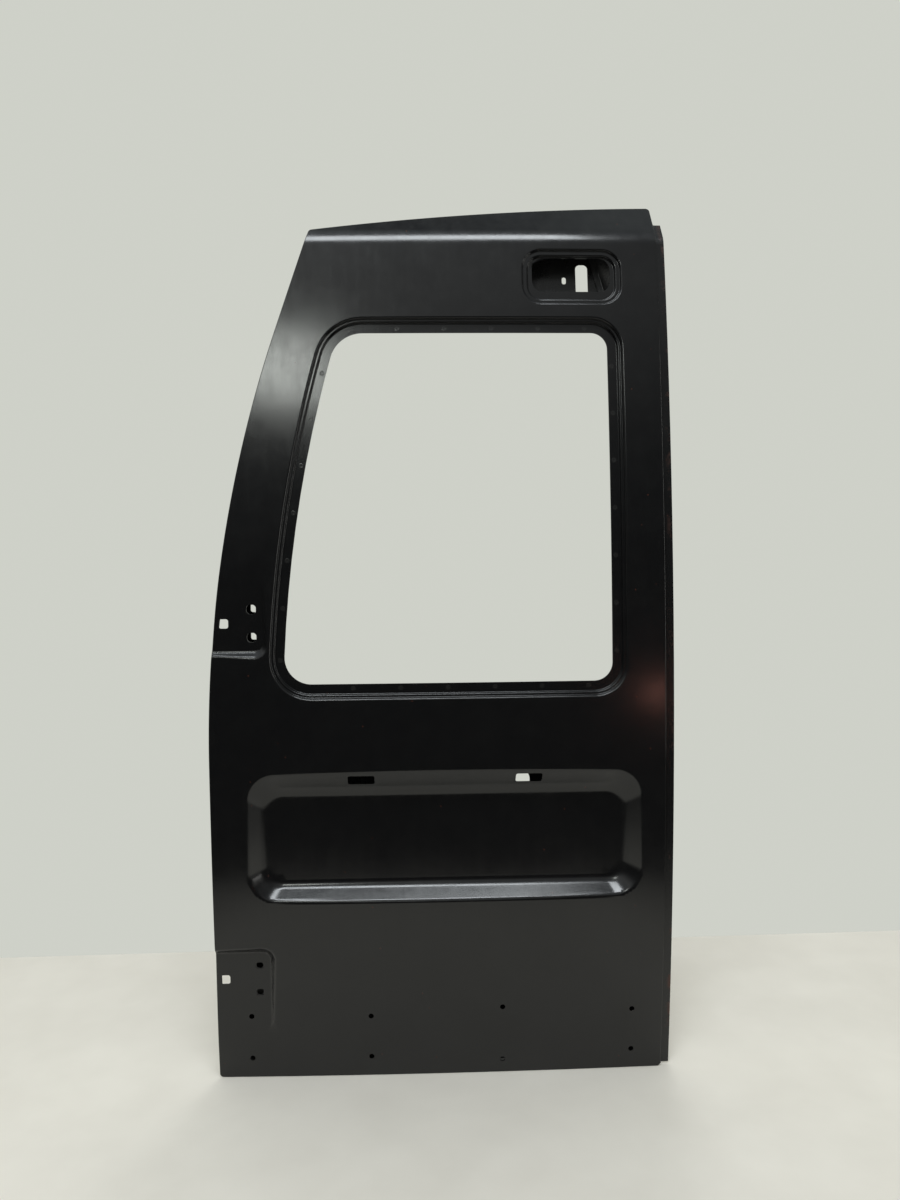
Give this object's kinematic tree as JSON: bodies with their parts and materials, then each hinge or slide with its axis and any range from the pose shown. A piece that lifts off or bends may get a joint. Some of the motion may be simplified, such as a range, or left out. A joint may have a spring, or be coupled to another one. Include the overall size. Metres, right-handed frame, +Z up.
{
  "type": "van rear barn door shell",
  "caption": "Left rear van door shell: crowned black-primed skin hemmed to an inner panel, with rebated window opening, stop-lamp pocket, plate recess and hinge pads.",
  "frame": {"origin": "on the outer face of the lower hinge pad, midway between its bolts", "axes": "+X from the hinge edge to the closing edge, +Y into the vehicle, +Z up"},
  "size_m": [0.7, 0.1316, 1.3444],
  "materials": {
    "skin_primer": "semi-gloss black dip primer on pressed steel, dusty, with faint scuffs",
    "panel_primer": "black dip primer, a little flatter than the outside",
    "flange_primer": "semi-gloss black dip primer with a bead of seam sealer along the fold",
    "rail_primer": "black dip primer",
    "plate_primer": "dark grey dip primer over thick plate"
  },
  "bodies": {
    "root": {"outer_skin": "skin_primer", "inner_panel": "panel_primer", "closing_flange": "flange_primer", "upper_hinge_plate": "plate_primer", "lower_hinge_plate": "plate_primer", "waist_rail": "rail_primer", "lower_rail": "rail_primer", "upper_latch_plate": "plate_primer", "lower_latch_plate": "plate_primer", "striker_plate": "plate_primer", "check_strap_plate": "plate_primer"}
  },
  "joints": []
}
